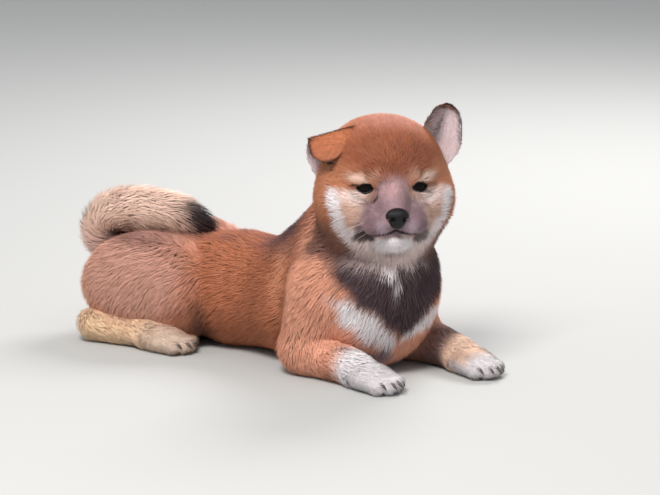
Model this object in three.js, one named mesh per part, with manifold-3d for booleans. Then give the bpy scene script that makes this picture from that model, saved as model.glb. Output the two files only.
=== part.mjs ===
// A shiba inu puppy of about ten weeks, life size, lying on its chest with its head turned to its right.
// Millimetres. +Z is up and the floor is Z = 0. +X runs along the back towards the chest, +Y to the puppy's left.
// The solids reach out to the tips of the coat. Each body part is its own closed mesh, parted by thin cuts.
import * as THREE from "three";
import { mergeVertices } from "three/addons/utils/BufferGeometryUtils.js";
import Module from "manifold-3d";

const wasm = await Module();
wasm.setup();

// Driving dimensions
const TRUNK_LENGTH = 308;
const SPINE_BEND = 34;
const RUMP_AT = [-230, -7];
const CHEST_WIDTH = 112;
const BACK_HEIGHT = 99;
const WITHERS_HEIGHT = 122;
const HEAD_WIDTH = 112;
const HEAD_AT = [55.6, -2, 170.5];
const HEAD_TURN = -43;
const HEAD_NOD = 4;
const TAIL_RADIUS = 19.5;
const EYE_RADIUS = 8.4;
const EYE = { forward: 44, aside: 24.5, up: -7, inset: 2, width: 14.5, height: 8.4, tilt: 6, outward: 20 };
const LID = 1.3;
const NOSE = { forward: 59.5, up: -26, width: 19 };
const MOUTH = { up: -42, droop: 2, halfWidth: 21, back: 30, depth: 18 };
const FORE_REACH = 68;
const PAW = { length: 44, width: 37, height: 23, toeRadius: 8 };
const CLAW = { length: 9, radius: 1.7 };
const EAR_THICKNESS = 3.6;
const GAP = 0.35;
const FOLD = 0.02;

// Sizes of the facets
const BODY_CELL = 14;
const HEAD_CELL = 6;
const TAIL_CELL = 10;
const PAW_CELL = 5.6;
const CUT_CELL = 19;
const NOSE_CELL = 3;

const { cos, sin, hypot, max, min, PI, abs } = Math;
const RADIANS = PI / 180;
const vec = (p) => new THREE.Vector3(...p);

// A frame has its x axis forward, y to the left and z up, at a point, turned left and nodded down by degrees.
function frameAt(at, turn = 0, nod = 0, roll = 0) {
  const angles = new THREE.Euler(roll * RADIANS, nod * RADIANS, turn * RADIANS, "ZYX");
  return new THREE.Matrix4().makeRotationFromEuler(angles).setPosition(...at);
}

const inFrame = (frame, p) => vec(p).applyMatrix4(frame).toArray();

// Rounded forms, each given by its distance to a point
function ellipsoid(frame, centre, radii, turn = 0, nod = 0) {
  const local = new THREE.Matrix4().multiplyMatrices(frame, frameAt(centre, turn, nod));
  const m = local.invert().elements;
  const [a, b, c] = radii;
  return (x, y, z) => {
    const u = m[0] * x + m[4] * y + m[8] * z + m[12];
    const v = m[1] * x + m[5] * y + m[9] * z + m[13];
    const w = m[2] * x + m[6] * y + m[10] * z + m[14];
    const near = hypot(u / a, v / b, w / c);
    const slope = hypot(u / (a * a), v / (b * b), w / (c * c));
    return slope > 1e-9 ? (near * (near - 1)) / slope : -min(a, b, c);
  };
}

// A limb is round at both ends and tapers evenly between them.
function limb(frame, from, to, fromRadius, toRadius) {
  const a = vec(inFrame(frame, from));
  const axis = vec(inFrame(frame, to)).sub(a);
  const length = axis.length();
  axis.normalize();
  const slope = (fromRadius - toRadius) / length;
  const rise = Math.sqrt(max(0, 1 - slope * slope));
  return (x, y, z) => {
    const px = x - a.x;
    const py = y - a.y;
    const pz = z - a.z;
    const along = px * axis.x + py * axis.y + pz * axis.z;
    const away = Math.sqrt(max(0, px * px + py * py + pz * pz - along * along));
    const fit = along - (away * slope) / rise;
    if (fit <= 0) return hypot(along, away) - fromRadius;
    if (fit >= length) return hypot(along - length, away) - toRadius;
    return away * rise + along * slope - fromRadius;
  };
}

// Joins forms with creases rounded over a width.
function blend(width, ...forms) {
  return (x, y, z) => {
    let d = forms[0](x, y, z);
    for (let i = 1; i < forms.length; i++) {
      const e = forms[i](x, y, z);
      const h = max(width - abs(d - e), 0) / width;
      d = min(d, e) - (h * h * width) / 4;
    }
    return d;
  };
}

// The back is an arc seen from above, bowed to the left. A station is a share of the trunk's length from the rump.
function spineFrame(share, height = 0) {
  const radius = TRUNK_LENGTH / (SPINE_BEND * RADIANS);
  const heading = SPINE_BEND * (0.5 - share) * RADIANS;
  const half = (SPINE_BEND / 2) * RADIANS;
  const x = RUMP_AT[0] + radius * (sin(half) - sin(heading));
  const y = RUMP_AT[1] + radius * (cos(heading) - cos(half));
  return frameAt([x, y, height], heading / RADIANS);
}

const world = new THREE.Matrix4();
const headFrame = frameAt(HEAD_AT, HEAD_TURN, HEAD_NOD);
const sides = { left: 1, right: -1 };
const bothSides = (make) => [make(1), make(-1)];

// Trunk, from the rump to the chest
const backHalf = BACK_HEIGHT / 2;
const chestHalf = CHEST_WIDTH / 2;
const rump = spineFrame(0.2);
const loin = spineFrame(0.43);
const ribs = spineFrame(0.65);
const shoulders = spineFrame(0.83);
const trunk = blend(
  22,
  ellipsoid(rump, [0, 0, backHalf - 2], [62, 54, backHalf - 1]),
  ellipsoid(rump, [-31, 0, backHalf - 8], [34, 43, 37]),
  ellipsoid(loin, [0, 0, backHalf - 3], [66, chestHalf - 3, backHalf + 1]),
  ellipsoid(ribs, [0, 0, backHalf], [62, chestHalf, backHalf + 3]),
  ellipsoid(shoulders, [0, 2, 62], [50, chestHalf, WITHERS_HEIGHT / 2]),
  ellipsoid(shoulders, [-32, 0, 72], [54, 44, 44], 0, -10),
  ellipsoid(shoulders, [24, 6, 60], [38, chestHalf - 4, 52]),
);

// Neck, from the shoulders up to the back of the skull, with a full ruff below the cheeks
const neck = blend(
  16,
  limb(world, inFrame(shoulders, [4, 0, 88]), inFrame(headFrame, [-12, 0, -14]), 48, 43),
  limb(world, inFrame(shoulders, [-28, 0, 90]), inFrame(headFrame, [-26, 2, -16]), 38, 36),
  limb(world, inFrame(shoulders, [20, 7, 78]), inFrame(headFrame, [-6, 2, -38]), 47, 44),
);

// Head: broad skull and cheeks, a short muzzle with full lips, and a small chin
const skull = HEAD_WIDTH / 112;
const cranium = blend(
  14,
  ellipsoid(headFrame, [-4, 0, 3], [45 * skull, 48 * skull, 39]),
  ellipsoid(headFrame, [16, 0, 10], [27, 37 * skull, 27]),
  ...bothSides((side) => ellipsoid(headFrame, [5, 31 * side * skull, -23], [35, 26.5 * skull, 31])),
  ...bothSides((side) => ellipsoid(headFrame, [28.5, 17 * side, 3], [11, 14, 9])),
  ellipsoid(headFrame, [8, 0, -46], [36, 37, 27]),
);
const muzzle = blend(
  6,
  limb(headFrame, [24, 0, -16], [54, 0, -26], 17, 10.5),
  ...bothSides((side) => ellipsoid(headFrame, [43, 12 * side, -33.5], [20, 15, 12], 12 * side)),
  ...bothSides((side) => ellipsoid(headFrame, [28, 20 * side, -30], [18, 13, 15])),
);
const chin = blend(
  6,
  ellipsoid(headFrame, [41, 0, -48], [18, 14.5, 10]),
  ellipsoid(headFrame, [24, 0, -48], [22, 22, 13]),
);
const head = blend(9, cranium, muzzle, chin);

// Forelegs: the elbow rests on the floor and the forearm lies ahead of it.
const elbowAt = { right: [6, -38], left: [42, 57] };
const foreTurn = { right: -11, left: -13 };
const foreFrame = (side) => frameAt([...elbowAt[side], 0], foreTurn[side]);

function upperForeleg(side) {
  const top = inFrame(shoulders, [4, 40 * sides[side] + 3, 68]);
  return limb(world, top, inFrame(foreFrame(side), [-1, 0, 23.5]), 32, 24);
}

const forearm = (side) => limb(foreFrame(side), [0, 0, 20.5], [FORE_REACH - 12, 0, 14], 21, 15.5);

// A paw has four toes, the middle two the longest, under a rounded top.
const TOES = [-1.5, -0.5, 0.5, 1.5];

function toeTip(place) {
  const spread = (PAW.width - 2 * PAW.toeRadius) / 3;
  return [PAW.length - PAW.toeRadius - abs(place) * 5, place * spread, PAW.toeRadius - 0.8];
}

function paw(frame) {
  const toes = TOES.map((place) => {
    const [x, y, z] = toeTip(place);
    return limb(frame, [x - 18, y * 0.8, z + 3], [x, y, z], PAW.toeRadius + 1, PAW.toeRadius);
  });
  const top = ellipsoid(frame, [9, 0, PAW.height / 2 - 1], [22, PAW.width / 2 - 1, PAW.height / 2]);
  return blend(5, top, blend(2, ...toes));
}

const within = (frame, at, turn) => frame.clone().multiply(frameAt(at, turn));
const hip = spineFrame(0.19);
const hindFrame = (side) => within(hip, [-40, 58 * sides[side], 0], 4 * sides[side]);
const pawFrames = {
  fore_left: within(foreFrame("left"), [FORE_REACH - 4, 0, 0], -4),
  fore_right: within(foreFrame("right"), [FORE_REACH - 4, 0, 0], 2),
  hind_left: within(hindFrame("left"), [54, 0, 0], 4),
  hind_right: within(hindFrame("right"), [54, 0, 0], -4),
};

// Hind legs: the thigh is folded against the flank over the shank and the long hind foot.
function thigh(side) {
  const out = sides[side];
  return blend(
    16,
    ellipsoid(hip, [-2, 41 * out, 51], [62, 30, 45], -3 * out, -6),
    ellipsoid(hip, [34, 44 * out, 38], [27, 22, 32]),
  );
}

const shank = (side) => limb(hindFrame(side), [-4, 0, 15], [50, 0, 12], 15.5, 12.5);

// Tail: it rises from the end of the rump and curls forward to lie along the back.
const tailPath = new THREE.CatmullRomCurve3(
  [[-42, -4, 60], [-64, -6, 78], [-59, -7, 96], [-34, -6, 104.5], [0, -4, 104.5], [26, -1, 99]].map((p) =>
    vec(inFrame(rump, p)),
  ),
);

function tailRadius(share) {
  const tipStart = 0.76;
  const swell = 0.86 + 0.22 * sin(PI * min(1, share * 1.1));
  const tip = Math.sqrt(max(0, 1 - (max(0, share - tipStart) / (1.06 - tipStart)) ** 2));
  return TAIL_RADIUS * swell * tip;
}

const TAIL_STEPS = 12;
const tail = blend(
  5,
  ...Array.from({ length: TAIL_STEPS }, (_, i) => {
    const [from, to] = [i / TAIL_STEPS, (i + 1) / TAIL_STEPS];
    const points = [from, to].map((share) => tailPath.getPoint(share).toArray());
    return limb(world, ...points, tailRadius(from), tailRadius(to));
  }),
);

// The whole body without ears, tail, nose and claws
const body = blend(
  11,
  blend(18, trunk, neck, head),
  ...["left", "right"].flatMap((side) => [thigh(side), shank(side), upperForeleg(side), forearm(side)]),
  ...Object.values(pawFrames).map(paw),
);

// Surface of a form: one vertex in each cell that the surface crosses, moved onto the surface.
function surfaceOf(form, low, high, cell, grow = 0) {
  const count = low.map((l, i) => Math.ceil((high[i] - l) / cell) + 1);
  const [nx, ny, nz] = count;
  const field = (x, y, z) => form(x, y, z) - grow;
  const values = new Float32Array(nx * ny * nz);
  const at = (i, j, k) => i + nx * (j + ny * k);
  for (let k = 0; k < nz; k++)
    for (let j = 0; j < ny; j++)
      for (let i = 0; i < nx; i++) {
        const edge = !i || !j || !k || i === nx - 1 || j === ny - 1 || k === nz - 1;
        const d = field(low[0] + i * cell, low[1] + j * cell, low[2] + k * cell);
        values[at(i, j, k)] = edge ? max(d, 0.01 * cell) : d;
      }
  const vertices = [];
  const vertexOf = new Int32Array(nx * ny * nz).fill(-1);
  const corners = [0, 1, 2, 3, 4, 5, 6, 7].map((c) => [c & 1, (c >> 1) & 1, c >> 2]);
  const edges = corners.flatMap((_, a) => [1, 2, 4].filter((bit) => !(a & bit)).map((bit) => [a, a | bit]));
  for (let k = 0; k < nz - 1; k++)
    for (let j = 0; j < ny - 1; j++)
      for (let i = 0; i < nx - 1; i++) {
        const d = corners.map(([a, b, c]) => values[at(i + a, j + b, k + c)]);
        const crossed = edges.filter(([a, b]) => d[a] < 0 !== d[b] < 0);
        if (!crossed.length) continue;
        const mean = new THREE.Vector3();
        for (const [a, b] of crossed) {
          const share = d[a] / (d[a] - d[b]);
          mean.add(vec(corners[a]).lerp(vec(corners[b]), share));
        }
        mean.divideScalar(crossed.length).add(vec([i, j, k])).multiplyScalar(cell).add(vec(low));
        vertexOf[at(i, j, k)] = vertices.length;
        vertices.push(settle(mean, field, cell, low, high));
      }
  return { vertices, triangles: netFaces(values, vertexOf, vertices, count) };
}

// Moves a point along the slope of the field until it lies on the surface, inside the box.
function settle(point, field, cell, low, high) {
  const start = point.clone();
  const step = 0.05 * cell;
  for (let turn = 0; turn < 3; turn++) {
    const { x, y, z } = point;
    const d = field(x, y, z);
    const slope = new THREE.Vector3(
      field(x + step, y, z) - field(x - step, y, z),
      field(x, y + step, z) - field(x, y - step, z),
      field(x, y, z + step) - field(x, y, z - step),
    ).divideScalar(2 * step);
    point.addScaledVector(slope, -d / max(slope.lengthSq(), 0.25));
  }
  const moved = point.clone().sub(start).clampLength(0, 0.45 * cell);
  const inset = 0.3 * cell;
  return start.add(moved).clamp(vec(low).addScalar(inset), vec(high).addScalar(-inset));
}

// Two triangles across each grid edge whose ends lie on opposite sides of the surface
function netFaces(values, vertexOf, vertices, [nx, ny, nz]) {
  const triangles = [];
  const strides = [1, nx, nx * ny];
  for (let axis = 0; axis < 3; axis++) {
    const [u, v] = [strides[(axis + 1) % 3], strides[(axis + 2) % 3]];
    const first = [0, 1, 2].map((a) => (a === axis ? 0 : 1));
    for (let k = first[2]; k < nz - 1; k++)
      for (let j = first[1]; j < ny - 1; j++)
        for (let i = first[0]; i < nx - 1; i++) {
          const p = i + nx * (j + ny * k);
          const [inside, other] = [values[p] < 0, values[p + strides[axis]] < 0];
          if (inside === other) continue;
          const ring = [p - u - v, p - v, p, p - u].map((q) => vertexOf[q]);
          if (!inside) ring.reverse();
          const [a, b, c, d] = ring;
          const acAcross = vertices[a].distanceTo(vertices[c]) < vertices[b].distanceTo(vertices[d]);
          triangles.push(...(acAcross ? [a, b, c, a, c, d] : [b, c, d, b, d, a]));
        }
  }
  return triangles;
}

// Solids for joining and cutting
function solidFrom(vertices, triangles) {
  const vertProperties = new Float32Array(vertices.flatMap((p) => [p.x, p.y, p.z]));
  const triVerts = new Uint32Array(triangles);
  return new wasm.Manifold(new wasm.Mesh({ numProp: 3, vertProperties, triVerts }));
}

function solidOf(form, low, high, cell, grow = 0) {
  const { vertices, triangles } = surfaceOf(form, low, high, cell, grow);
  return solidFrom(vertices, triangles);
}

function solidOfGeometry(geometry, matrix = world) {
  const loose = geometry.index ? geometry.toNonIndexed() : geometry.clone();
  loose.deleteAttribute("normal");
  loose.deleteAttribute("uv");
  const merged = mergeVertices(loose.applyMatrix4(matrix), 1e-4);
  const vertProperties = new Float32Array(merged.getAttribute("position").array);
  const triVerts = new Uint32Array(merged.index.array);
  return new wasm.Manifold(new wasm.Mesh({ numProp: 3, vertProperties, triVerts }));
}

// A box in a frame, from its low to its high corner, and a ball stretched to three radii
function boxSolid(frame, low, high) {
  const size = high.map((h, i) => h - low[i]);
  const centre = high.map((h, i) => (h + low[i]) / 2);
  const matrix = frame.clone().multiply(new THREE.Matrix4().makeTranslation(...centre));
  return solidOfGeometry(new THREE.BoxGeometry(...size), matrix);
}

function ballSolid(frame, centre, radii, wide = 20, high = 12) {
  const matrix = frame.clone().multiply(new THREE.Matrix4().makeTranslation(...centre));
  return solidOfGeometry(new THREE.SphereGeometry(1, wide, high).scale(...radii), matrix);
}

const largest = (solid) =>
  solid.decompose().reduce((best, piece) => (piece.volume() > best.volume() ? piece : best));

const BOX_LOW = [-300, -140, -12];
const BOX_HIGH = [190, 130, 240];
const belowFloor = boxSolid(world, [-400, -400, -200], [400, 400, 0]);

// Colours of the coat, eyes, nose and claws
const coat = (color, roughness = 0.9) =>
  new THREE.MeshStandardMaterial({ color, roughness, metalness: 0 });
const materials = {
  red: coat(0xa8643c),
  cream: coat(0xe6cfb8),
  dark: coat(0x4a3a3c),
  eye: coat(0x120c0a, 0.15),
  nose: coat(0x1c1a1e, 0.4),
  claw: coat(0x3a322e, 0.5),
};
const puppy = new THREE.Group();

// A claw is a curved cone with a point, growing from the top of its toe's end.
function clawSolid(frame, toe, place) {
  const rings = 4;
  const round = 6;
  const vertices = [];
  for (let i = 0; i <= rings; i++) {
    const share = i / rings;
    const bend = 50 * share * RADIANS;
    const reach = CLAW.length / (50 * RADIANS);
    const middle = [toe[0] + 3 + reach * sin(bend), toe[1], toe[2] + 3 - reach * (1 - cos(bend))];
    const radius = CLAW.radius * (1 - share ** 1.5 * 0.85);
    for (let j = 0; j < round; j++) {
      const turn = (j / round) * 2 * PI;
      const out = radius * sin(turn);
      const lift = radius * 1.25 * cos(turn);
      const p = [middle[0] + lift * sin(bend), middle[1] + out, middle[2] + lift * cos(bend)];
      vertices.push(vec(inFrame(frame, p)));
    }
  }
  const triangles = [];
  for (let i = 0; i < rings; i++)
    for (let j = 0; j < round; j++) {
      const [a, b] = [i * round + j, i * round + ((j + 1) % round)];
      triangles.push(a, a + round, b + round, a, b + round, b);
    }
  for (let j = 1; j < round - 1; j++) {
    const last = rings * round;
    triangles.push(0, j, j + 1, last, last + j + 1, last + j);
  }
  const solid = solidFrom(vertices, triangles);
  return solid.volume() > 0 ? solid : solidFrom(vertices, triangles.toReversed());
}

// Draws a surface in by a hair, so that folds which only touch come apart.
function drawIn(geometry) {
  geometry.computeVertexNormals();
  const [at, normal] = [geometry.getAttribute("position"), geometry.getAttribute("normal")];
  for (let i = 0; i < at.array.length; i++) at.array[i] -= FOLD * normal.array[i];
  geometry.deleteAttribute("normal");
}

function addMesh(name, solid, material) {
  const mesh = largest(solid).getMesh();
  const geometry = new THREE.BufferGeometry();
  geometry.setAttribute("position", new THREE.BufferAttribute(new Float32Array(mesh.vertProperties), 3));
  geometry.setIndex(new THREE.BufferAttribute(new Uint32Array(mesh.triVerts), 1));
  drawIn(geometry);
  const node = new THREE.Mesh(geometry, material);
  node.name = name;
  puppy.add(node);
}

// A sheet between two surfaces, each given by how far along (0 to 1) and across (-1 to 1) a point lies
function sheetSolid(upper, lower, along, across) {
  const vertices = [];
  for (const face of [upper, lower])
    for (let i = 0; i <= along; i++)
      for (let j = 0; j <= across; j++) vertices.push(vec(face(i / along, (2 * j) / across - 1)));
  const row = across + 1;
  const under = (along + 1) * row;
  const triangles = [];
  const quad = (a, b, c, d) => triangles.push(a, b, c, a, c, d);
  for (let i = 0; i < along; i++)
    for (let j = 0; j < across; j++) {
      const p = i * row + j;
      quad(p, p + row, p + row + 1, p + 1);
      quad(under + p, under + p + 1, under + p + row + 1, under + p + row);
    }
  for (let j = 0; j < across; j++) {
    const end = along * row + j;
    quad(j, j + 1, under + j + 1, under + j);
    quad(end + 1, end, under + end, under + end + 1);
  }
  for (let i = 0; i < along; i++) {
    const [left, right] = [i * row, i * row + across];
    quad(left + row, left, under + left, under + left + row);
    quad(right, right + row, under + right + row, under + right);
  }
  const solid = solidFrom(vertices, triangles);
  return solid.volume() > 0 ? solid : solidFrom(vertices, triangles.toReversed());
}

// Parting: a cutter takes its piece out of the body, and a wider cutter keeps the gap around it.
const nearbyBox = (at, reach) => [at.map((v) => v - reach), at.map((v) => v + reach)];
const wholeBody = solidOf(body, BOX_LOW, BOX_HIGH, BODY_CELL).subtract(belowFloor);
const fineBody = (at, reach, cell) => solidOf(body, ...nearbyBox(at, reach), cell).subtract(belowFloor);
const boxRegion = (frame, low, high) => (grow) =>
  boxSolid(frame, low.map((v) => v - grow), high.map((v) => v + grow));

function formRegion(form, start) {
  const { vertices, triangles } = surfaceOf(form, BOX_LOW, BOX_HIGH, CUT_CELL, start);
  const outward = vertices.map(({ x, y, z }) => {
    const slope = [form(x + 1, y, z) - form(x - 1, y, z), form(x, y + 1, z) - form(x, y - 1, z)];
    return vec([...slope, form(x, y, z + 1) - form(x, y, z - 1)]).normalize();
  });
  return (grow) => solidFrom(vertices.map((v, i) => v.clone().addScaledVector(outward[i], grow)), triangles);
}

let taken = belowFloor;

function take(region, from = wholeBody) {
  const piece = from.subtract(taken).intersect(region(0));
  taken = taken.add(region(GAP));
  return largest(piece);
}

// Head: a finer surface above a slanting cut through the throat
const throat = within(headFrame, [-17, 0, -30], 0).multiply(frameAt([0, 0, 0], 0, 44));
const aboveThroat = boxRegion(throat, [-110, -100, 0], [120, 100, 120]);
let headSolid = take(aboveThroat, fineBody(HEAD_AT, 100, HEAD_CELL));

// Lower jaw: the block below the mouth line, which droops a little to its corners
const mouthHigh = (side) => MOUTH.up - MOUTH.droop * side * side;
function jawBlock(grow) {
  const place = (along, side, up) =>
    inFrame(headFrame, [MOUTH.back - grow + along * 50, side * (MOUTH.halfWidth + grow), up]);
  const upper = (along, side) => place(along, side, mouthHigh(side) + grow);
  const lower = (along, side) => place(along, side, MOUTH.up - MOUTH.depth - grow);
  return sheetSolid(upper, lower, 1, 8);
}
const jaw = largest(headSolid.intersect(jawBlock(0)));
headSolid = headSolid.subtract(jawBlock(2 * GAP));

// Eyes: a ball in a socket, seen through an almond opening with a raised rim of lid around it
function eyeFrame(side) {
  const out = sides[side];
  const face = frameAt([0, 0, 0], EYE.outward * out, 0, EYE.tilt * out);
  const looking = headFrame.clone().multiply(face.setPosition(EYE.forward, EYE.aside * out, EYE.up));
  const steps = Array.from({ length: 80 }, (_, i) => 20 - i * 0.5);
  const skin = steps.find((x) => body(...inFrame(looking, [x, 0, 0])) < 0);
  return looking.multiply(frameAt([skin - EYE.inset - EYE_RADIUS, 0, 0]));
}

function lidOutline(side) {
  const [w, h] = [EYE.width / 2, EYE.height / 2];
  const upper = [[w, 0], [0.62 * w, 0.72 * h], [0, h], [-0.62 * w, 0.78 * h]];
  const lower = [[-w, -0.1 * h], [-0.6 * w, -0.8 * h], [0, -h], [0.6 * w, -0.8 * h]];
  return [...upper, ...lower].map(([y, z]) => [y * sides[side], z]);
}

function lidParts(side) {
  const frame = eyeFrame(side);
  const reach = EYE_RADIUS + LID * 0.4;
  const onBall = ([y, z]) => new THREE.Vector3(Math.sqrt(reach * reach - y * y - z * z), y, z);
  const points = lidOutline(side).map(onBall);
  const rim = new THREE.CatmullRomCurve3(points, true);
  const ring = solidOfGeometry(new THREE.TubeGeometry(rim, 20, LID, 5, true), frame);
  const outline = rim.getPoints(20).slice(0, 20);
  const scale = 0.9;
  const shape = new THREE.Shape(outline.map((p) => new THREE.Vector2(p.y * scale, p.z * scale)));
  const prism = new THREE.ExtrudeGeometry(shape, { depth: 16, bevelEnabled: false });
  const turned = new THREE.Matrix4().makeBasis(vec([0, 1, 0]), vec([0, 0, 1]), vec([1, 0, 0]));
  const opening = solidOfGeometry(prism, frame.clone().multiply(turned));
  return { ring, opening, frame };
}

const eyes = {};
for (const side of ["left", "right"]) {
  const { ring, opening, frame } = lidParts(side);
  const ball = (radius) => ballSolid(frame, [0, 0, 0], [radius, radius, radius], 16, 10);
  headSolid = headSolid.add(ring).subtract(opening).subtract(ball(EYE_RADIUS + GAP));
  eyes[side] = ball(EYE_RADIUS);
}

// Nose: a rounded pad with two nostrils
const noseForm = blend(
  3,
  ellipsoid(headFrame, [NOSE.forward, 0, NOSE.up + 1.5], [6.5, NOSE.width / 2, 6.4]),
  ellipsoid(headFrame, [NOSE.forward - 1, 0, NOSE.up - 4], [6, NOSE.width / 2 - 3.4, 5.4]),
);
const noseAt = inFrame(headFrame, [NOSE.forward, 0, NOSE.up]);
const noseSolid = (grow) => solidOf(noseForm, ...nearbyBox(noseAt, 16), NOSE_CELL, grow);
const nostrils = bothSides((side) =>
  ballSolid(headFrame, [NOSE.forward + 5.6, 5.4 * side, NOSE.up - 0.4], [2.6, 1.7, 1.9], 10, 6),
);
headSolid = headSolid.subtract(noseSolid(GAP));
const nose = nostrils.reduce((solid, cut) => solid.subtract(cut), noseSolid(0));

// Ears: a leaf between an inner and an outer edge, cupped between them
const edgeCurve = (points) => new THREE.CatmullRomCurve3(points.map((p) => vec(inFrame(headFrame, p))));
function earSolid({ inner, outer, cup }, thickness) {
  const [innerEdge, outerEdge] = [edgeCurve(inner), edgeCurve(outer)];
  const back = vec(inFrame(headFrame, [-1, 0, 0])).sub(vec(inFrame(headFrame, [0, 0, 0])));
  const middle = (along, across) => {
    const at = innerEdge.getPoint(along).lerp(outerEdge.getPoint(along), (across + 1) / 2);
    return at.addScaledVector(back, cup(along) * (1 - across * across));
  };
  const normal = (along, across) => {
    const [a, b] = [min(along, 0.97), max(min(across, 0.97), -0.97)];
    const up = middle(a + 0.02, b).sub(middle(a - 0.02 < 0 ? 0 : a - 0.02, b));
    const side = middle(a, b + 0.02).sub(middle(a, b - 0.02));
    return up.cross(side).normalize();
  };
  const face = (way) => (along, across) => {
    const thin = thickness * (0.5 - 0.15 * across * across) * (1 - 0.3 * along);
    return middle(along, across).addScaledVector(normal(along, across), way * thin).toArray();
  };
  return sheetSolid(face(-1), face(1), 8, 8);
}
const earLeft = {
  inner: [[-6, 26, 20], [-4, 32, 30], [-5, 38, 40], [-6, 43.5, 46], [-7, 48.5, 47.5]],
  outer: [[-9, 51, -6], [-4, 62.5, 11], [-4, 64.5, 27], [-5, 62.5, 40], [-7, 57.5, 46.5]],
  cup: (along) => 13 * (1 - along) + 2,
};
const earRight = {
  inner: [[-8, -20, 24], [-4, -22, 32], [5, -24, 35], [14, -28, 29.5], [19, -35, 20.5], [19.5, -44, 13.5]],
  outer: [[-8, -52, -12], [-8, -61, 8], [2, -62, 25], [10, -63, 21], [14.5, -61, 15], [18, -53, 11]],
  cup: (along) => 8 * (1 - along) - 3,
};
const aroundHead = solidOf(body, ...nearbyBox(HEAD_AT, 90), HEAD_CELL, 3 * GAP);
const ears = {
  left: earSolid(earLeft, EAR_THICKNESS).subtract(aroundHead),
  right: earSolid(earRight, EAR_THICKNESS).subtract(aroundHead),
};

addMesh("head", headSolid, materials.red);
addMesh("lower_jaw", jaw, materials.cream);
addMesh("nose", nose, materials.nose);
for (const side of ["left", "right"]) {
  addMesh(`eye_${side}`, eyes[side], materials.eye);
  addMesh(`ear_${side}`, ears[side], materials.red);
}

// Paws, each from a finer surface, with four claws
for (const [name, frame] of Object.entries(pawFrames)) {
  const [limbName, side] = name.split("_");
  const half = PAW.width / 2;
  const inner = limbName === "fore" ? half + 8 : half - 5;
  const [right, left] = side === "left" ? [inner, half + 8] : [half + 8, inner];
  const low = [3, -right, -2];
  const high = [PAW.length + 2, left, PAW.height + 5];
  const at = inFrame(frame, [20, 0, 12]);
  const label = limbName === "fore" ? "foreleg" : "hindleg";
  const pawSolid = take(boxRegion(frame, low, high), fineBody(at, 42, PAW_CELL));
  addMesh(`${label}_${side}_paw`, pawSolid, materials.cream);
  const aroundPaw = solidOf(paw(frame), ...nearbyBox(at, 44), PAW_CELL, 3 * GAP);
  TOES.forEach((place, i) => {
    const claw = clawSolid(frame, toeTip(place), place).subtract(aroundPaw);
    addMesh(`claw_${name}_${i + 1}`, claw, materials.claw);
  });
}

// Legs, then the trunk in slabs across the back
const legs = {
  foreleg_left_forearm: formRegion(forearm("left"), 4),
  foreleg_right_forearm: formRegion(forearm("right"), 4),
  foreleg_left_upper: formRegion(upperForeleg("left"), 6),
  foreleg_right_upper: formRegion(upperForeleg("right"), 6),
  hindleg_left_shank: formRegion(shank("left"), 3),
  hindleg_right_shank: formRegion(shank("right"), 3),
  hindleg_left_thigh: formRegion(thigh("left"), 3),
  hindleg_right_thigh: formRegion(thigh("right"), 3),
};
for (const [name, region] of Object.entries(legs)) addMesh(name, take(region), materials.red);

const neckBase = within(shoulders, [4, 0, 100]).multiply(frameAt([0, 0, 0], 0, 22));
addMesh("neck", take(boxRegion(neckBase, [-140, -120, 0], [140, 120, 120])), materials.red);
addMesh("chest", take(boxRegion(spineFrame(0.62), [0, -120, -5], [220, 120, 200])), materials.dark);
addMesh("loin", take(boxRegion(spineFrame(0.34), [0, -120, -5], [220, 120, 200])), materials.red);
addMesh("rump", take(boxRegion(spineFrame(0.34), [-220, -120, -5], [0, 120, 200])), materials.red);

// Tail: its base and its curl
const aroundRump = solidOf(body, BOX_LOW, BOX_HIGH, BODY_CELL, 2 * GAP);
const tailSolid = solidOf(tail, BOX_LOW, BOX_HIGH, TAIL_CELL).subtract(aroundRump);
const curl = (grow) => boxSolid(rump, [-160, -80, 92 - grow], [160, 80, 200]);
addMesh("tail_base", tailSolid.subtract(curl(GAP)), materials.red);
addMesh("tail_curl", tailSolid.intersect(curl(0)), materials.cream);

// The middle of the footprint is the origin.
const extent = new THREE.Box3().setFromObject(puppy);
const middle = extent.getCenter(new THREE.Vector3());
for (const node of puppy.children) node.geometry.translate(-middle.x, -middle.y, -extent.min.z);

export default puppy;
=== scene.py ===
import math

import bmesh
import bpy
import numpy as np
from mathutils import Matrix, Vector


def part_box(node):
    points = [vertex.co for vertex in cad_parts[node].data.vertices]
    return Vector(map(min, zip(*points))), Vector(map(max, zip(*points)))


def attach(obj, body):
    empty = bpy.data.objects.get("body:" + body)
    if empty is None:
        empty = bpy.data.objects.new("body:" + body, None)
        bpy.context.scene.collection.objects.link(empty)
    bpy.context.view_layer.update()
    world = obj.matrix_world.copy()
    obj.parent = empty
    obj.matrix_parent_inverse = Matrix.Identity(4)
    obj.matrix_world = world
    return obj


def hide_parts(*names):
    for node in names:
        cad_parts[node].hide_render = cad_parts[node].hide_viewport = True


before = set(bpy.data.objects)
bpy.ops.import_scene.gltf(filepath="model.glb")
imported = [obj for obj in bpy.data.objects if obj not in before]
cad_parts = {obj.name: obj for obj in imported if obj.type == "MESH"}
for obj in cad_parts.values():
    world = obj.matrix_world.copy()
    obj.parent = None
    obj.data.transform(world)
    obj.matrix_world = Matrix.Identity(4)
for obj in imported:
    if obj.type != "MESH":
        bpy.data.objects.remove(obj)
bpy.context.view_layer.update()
rng = np.random.default_rng(7)

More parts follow.
